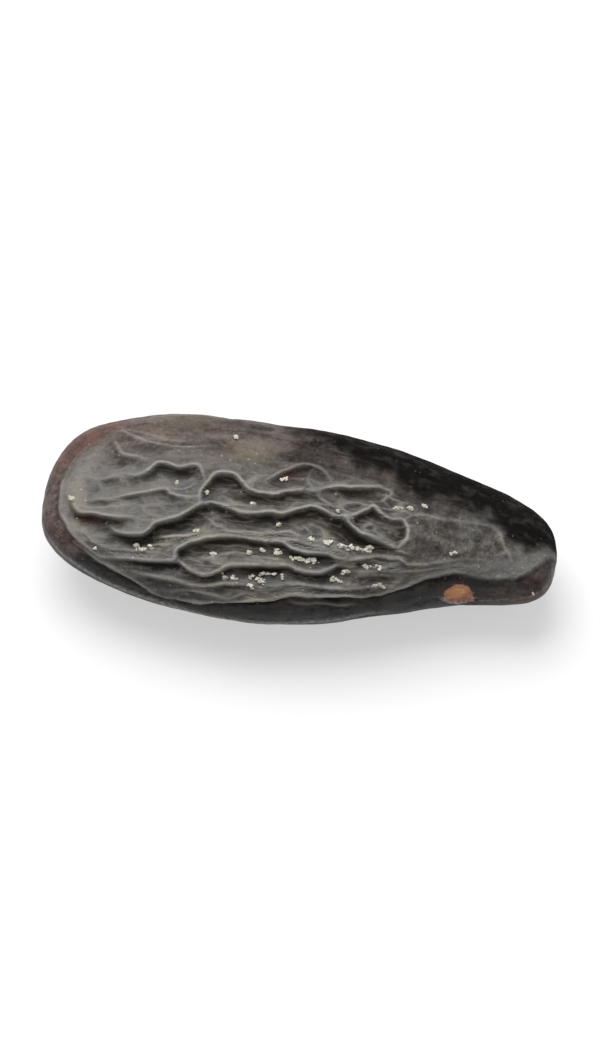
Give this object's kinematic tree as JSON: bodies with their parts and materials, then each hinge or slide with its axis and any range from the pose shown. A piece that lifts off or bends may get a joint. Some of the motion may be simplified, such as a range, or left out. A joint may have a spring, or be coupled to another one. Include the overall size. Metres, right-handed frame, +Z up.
{
  "type": "tonka bean",
  "caption": "Dried tonka bean: a dark, flattened, deeply wrinkled seed with a blunt end, a beaked end and a seed scar on its belly edge, lying on one cheek.",
  "frame": {"origin": "middle of the seed's box, at the surface that it lies on", "axes": "+X from the blunt end to the beak, -Y towards the belly edge with the seed scar, +Z up through the upper cheek"},
  "size_m": [0.034, 0.015, 0.0094],
  "materials": {
    "seed_coat": "dry, hard, wrinkled seed coat, satin, with paler crests and a reddish brown rim",
    "coumarin_crystals": "matt cream specks lodged in the folds"
  },
  "bodies": {
    "root": {"tonka_bean": "seed_coat"}
  },
  "joints": []
}
